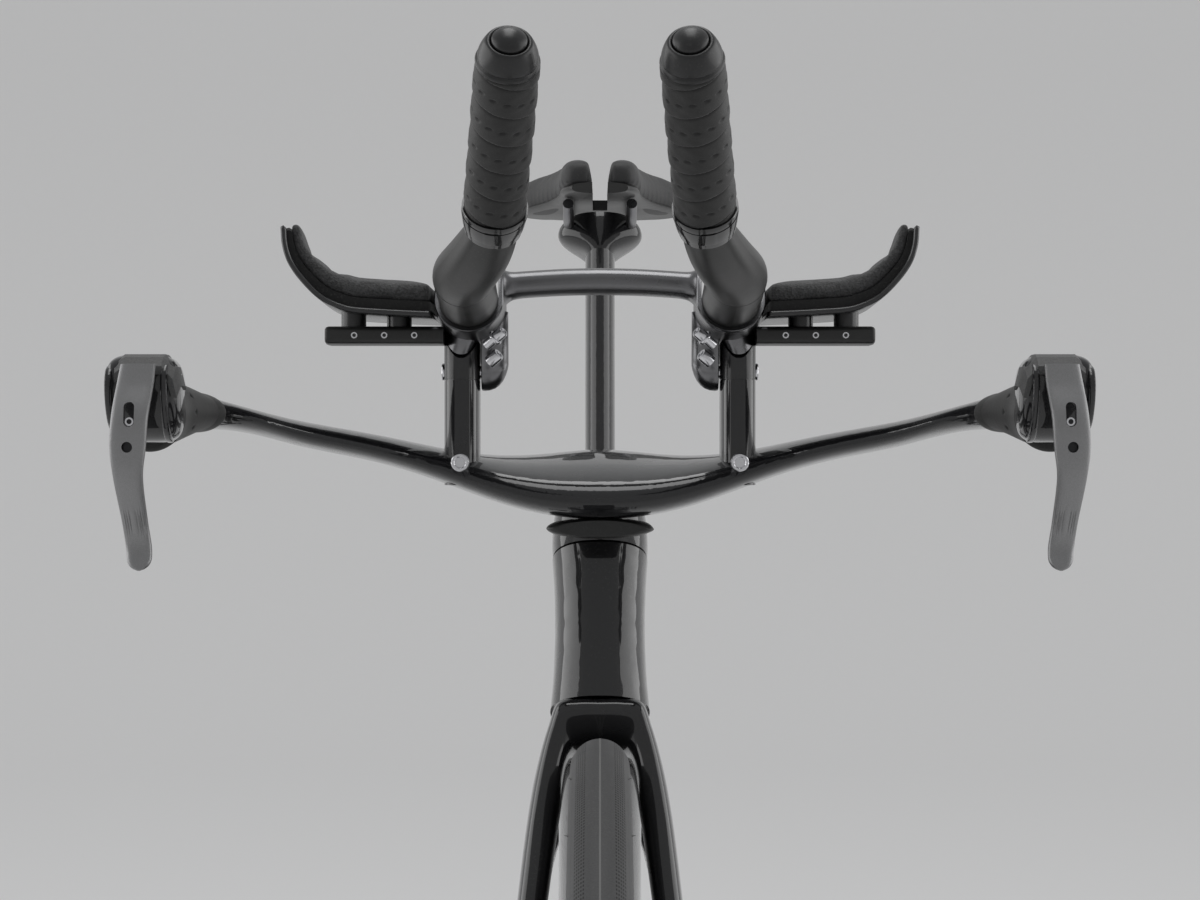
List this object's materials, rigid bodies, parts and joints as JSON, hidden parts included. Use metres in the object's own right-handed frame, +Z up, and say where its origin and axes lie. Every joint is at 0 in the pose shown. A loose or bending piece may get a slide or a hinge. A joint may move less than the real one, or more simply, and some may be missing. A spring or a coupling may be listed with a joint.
{
  "type": "time trial bike",
  "caption": "Aero time trial bicycle with gull-wing base bar, tilting grip extensions, arm pads, disc brakes, chain drive and split-nose saddle.",
  "frame": {"origin": "on the ground, halfway between the axles, in the plane of the wheels", "axes": "+X to the rider's left, -Y to the front, +Z up; the long axis of the bike lies along Y"},
  "size_m": [0.447, 1.672, 0.993],
  "materials": {
    "gloss_frame": "gloss clear-coated black composite",
    "gloss_cockpit": "gloss clear-coated black composite",
    "satin_alloy": "satin anodised dark grey",
    "matte_composite": "matte dark grey composite",
    "lever_grey": "bead-blasted grey",
    "grip_rubber": "matte moulded rubber",
    "tape_fabric": "matte perforated grip tape",
    "pad_foam": "speckled grey foam",
    "steel": "brushed",
    "dark_steel": "dark plated",
    "tyre_rubber": "matte black with fine moulded lines",
    "rim_composite": "satin black composite",
    "black_alloy": "black anodised",
    "saddle_cover": "matte synthetic cover"
  },
  "bodies": {
    "frame": {"frame": "gloss_frame", "bottom_bracket_cups": "black_alloy", "headset_bearings": "dark_steel", "rear_axle": "black_alloy", "rear_caliper": "black_alloy", "derailleur_mount": "black_alloy", "chain": "steel"},
    "front_end": {"fork": "gloss_frame", "front_axle": "black_alloy", "front_caliper": "black_alloy", "base_bar": "gloss_cockpit", "stem_cover": "matte_composite", "riser_columns": "gloss_cockpit", "cockpit_bolts": "steel", "left_lever_body": "gloss_cockpit", "right_lever_body": "gloss_cockpit", "bar_grips": "grip_rubber"},
    "upper_cockpit": {"extension_bridge": "satin_alloy", "left_extension": "matte_composite", "right_extension": "matte_composite", "grip_tapes": "tape_fabric", "end_plugs": "grip_rubber", "pad_rails": "black_alloy", "pad_carriers": "matte_composite", "arm_pads": "pad_foam", "tilt_bolts": "steel"},
    "left_lever": {"left_brake_lever": "lever_grey"},
    "right_lever": {"right_brake_lever": "lever_grey"},
    "left_button": {"left_shift_button": "grip_rubber"},
    "right_button": {"right_shift_button": "grip_rubber"},
    "front_wheel": {"front_tyre": "tyre_rubber", "front_rim": "rim_composite", "front_hub": "black_alloy", "front_spokes": "dark_steel", "front_rotor": "steel"},
    "rear_wheel": {"rear_tyre": "tyre_rubber", "rear_rim": "rim_composite", "rear_hub": "black_alloy", "rear_spokes": "dark_steel", "rear_rotor": "steel"},
    "front_left_pad": {"front_left_brake_pad": "dark_steel"},
    "front_right_pad": {"front_right_brake_pad": "dark_steel"},
    "rear_left_pad": {"rear_left_brake_pad": "dark_steel"},
    "rear_right_pad": {"rear_right_brake_pad": "dark_steel"},
    "cassette": {"cassette": "steel"},
    "crank": {"right_crank": "gloss_cockpit", "left_crank": "gloss_cockpit", "chainring": "black_alloy"},
    "left_pedal": {"left_pedal": "matte_composite"},
    "right_pedal": {"right_pedal": "matte_composite"},
    "derailleur_link": {"derailleur_link": "black_alloy"},
    "derailleur_knuckle": {"derailleur_knuckle": "black_alloy"},
    "derailleur_cage": {"derailleur_cage": "satin_alloy"},
    "guide_pulley": {"guide_pulley": "black_alloy"},
    "tension_pulley": {"tension_pulley": "black_alloy"},
    "seat": {"seatpost": "gloss_frame", "saddle_rails": "dark_steel", "saddle_shell": "matte_composite", "saddle_pad": "saddle_cover"}
  },
  "joints": [
    {"name": "steering", "type": "hinge", "parent": "frame", "child": "front_end", "pos_m": [0, -0.34318, 0.67303], "axis": [0, 0.309, 0.9511], "range_deg": [-40, 40]},
    {"name": "front_wheel_spin", "type": "hinge", "parent": "front_end", "child": "front_wheel", "pos_m": [0, -0.5, 0.336], "axis": [1, 0, 0], "continuous": true},
    {"name": "rear_wheel_spin", "type": "hinge", "parent": "frame", "child": "rear_wheel", "pos_m": [0, 0.5, 0.336], "axis": [1, 0, 0], "continuous": true},
    {"name": "crank_spin", "type": "hinge", "parent": "frame", "child": "crank", "pos_m": [0, 0.09129, 0.264], "axis": [1, 0, 0], "continuous": true, "deforming": ["chain"]},
    {"name": "cassette_spin", "type": "hinge", "parent": "frame", "child": "cassette", "pos_m": [0, 0.5, 0.336], "axis": [1, 0, 0], "continuous": true, "deforming": ["chain"]},
    {"name": "left_pedal_spin", "type": "hinge", "parent": "crank", "child": "left_pedal", "pos_m": [0.07, 0.26129, 0.264], "axis": [1, 0, 0], "continuous": true},
    {"name": "right_pedal_spin", "type": "hinge", "parent": "crank", "child": "right_pedal", "pos_m": [-0.07, -0.07871, 0.264], "axis": [1, 0, 0], "continuous": true},
    {"name": "cockpit_tilt", "type": "hinge", "parent": "front_end", "child": "upper_cockpit", "pos_m": [0, -0.35, 0.838], "axis": [1, 0, 0], "range_deg": [-10, 6]},
    {"name": "left_brake_pull", "type": "hinge", "parent": "front_end", "child": "left_lever", "pos_m": [0.2065, -0.456, 0.832], "axis": [1, 0, 0], "range_deg": [0, 20], "stiffness_Nm_per_rad": 1.2, "springref_deg": -14.32},
    {"name": "left_shift_press", "type": "slide", "parent": "upper_cockpit", "child": "left_button", "axis": [0.087, 0.7678, -0.6347], "range_m": [0, 0.0012], "stiffness_N_per_m": 2500, "springref_m": -0.0008},
    {"name": "right_brake_pull", "type": "hinge", "parent": "front_end", "child": "right_lever", "pos_m": [-0.2065, -0.456, 0.832], "axis": [1, 0, 0], "range_deg": [0, 20], "stiffness_Nm_per_rad": 1.2, "springref_deg": -14.32},
    {"name": "right_shift_press", "type": "slide", "parent": "upper_cockpit", "child": "right_button", "axis": [-0.087, 0.7678, -0.6347], "range_m": [0, 0.0012], "stiffness_N_per_m": 2500, "springref_m": -0.0008},
    {"name": "front_left_pad_slide", "type": "slide", "parent": "front_end", "child": "front_left_pad", "axis": [-1, 0, 0], "range_m": [0, 0.0003]},
    {"name": "front_right_pad_slide", "type": "slide", "parent": "front_end", "child": "front_right_pad", "axis": [1, 0, 0], "range_m": [0, 0.0003]},
    {"name": "rear_left_pad_slide", "type": "slide", "parent": "frame", "child": "rear_left_pad", "axis": [-1, 0, 0], "range_m": [0, 0.0003]},
    {"name": "rear_right_pad_slide", "type": "slide", "parent": "frame", "child": "rear_right_pad", "axis": [1, 0, 0], "range_m": [0, 0.0003]},
    {"name": "derailleur_shift", "type": "hinge", "parent": "frame", "child": "derailleur_link", "pos_m": [-0.072, 0.517, 0.295], "axis": [0, 0, 1], "range_deg": [-22, 22], "deforming": ["chain"]},
    {"name": "derailleur_knuckle_turn", "type": "hinge", "parent": "derailleur_link", "child": "derailleur_knuckle", "pos_m": [-0.072, 0.555, 0.295], "axis": [0, 0, 1], "range_deg": [-22, 22], "deforming": ["chain"]},
    {"name": "cage_swing", "type": "hinge", "parent": "derailleur_knuckle", "child": "derailleur_cage", "pos_m": [-0.0506, 0.513, 0.24], "axis": [1, 0, 0], "range_deg": [-35, 20], "stiffness_Nm_per_rad": 1, "deforming": ["chain"]},
    {"name": "guide_pulley_spin", "type": "hinge", "parent": "derailleur_cage", "child": "guide_pulley", "pos_m": [-0.044, 0.513, 0.24], "axis": [1, 0, 0], "continuous": true, "deforming": ["chain"]},
    {"name": "tension_pulley_spin", "type": "hinge", "parent": "derailleur_cage", "child": "tension_pulley", "pos_m": [-0.044, 0.48653, 0.19065], "axis": [1, 0, 0], "continuous": true, "deforming": ["chain"]},
    {"name": "seat_height", "type": "slide", "parent": "frame", "child": "seat", "axis": [0, 0.2198, 0.9755], "range_m": [-0.03, 0.05]}
  ],
  "couplings": [
    {"joint": "cassette_spin", "follows": "crank_spin", "ratio": 3.125},
    {"joint": "guide_pulley_spin", "follows": "crank_spin", "ratio": -4.1667},
    {"joint": "tension_pulley_spin", "follows": "crank_spin", "ratio": 4.1667},
    {"joint": "derailleur_knuckle_turn", "follows": "derailleur_shift", "ratio": -1},
    {"joint": "front_left_pad_slide", "follows": "left_brake_pull", "m_per_rad": 0.00085514},
    {"joint": "front_right_pad_slide", "follows": "left_brake_pull", "m_per_rad": 0.00085514},
    {"joint": "rear_left_pad_slide", "follows": "right_brake_pull", "m_per_rad": 0.00085514},
    {"joint": "rear_right_pad_slide", "follows": "right_brake_pull", "m_per_rad": 0.00085514}
  ]
}
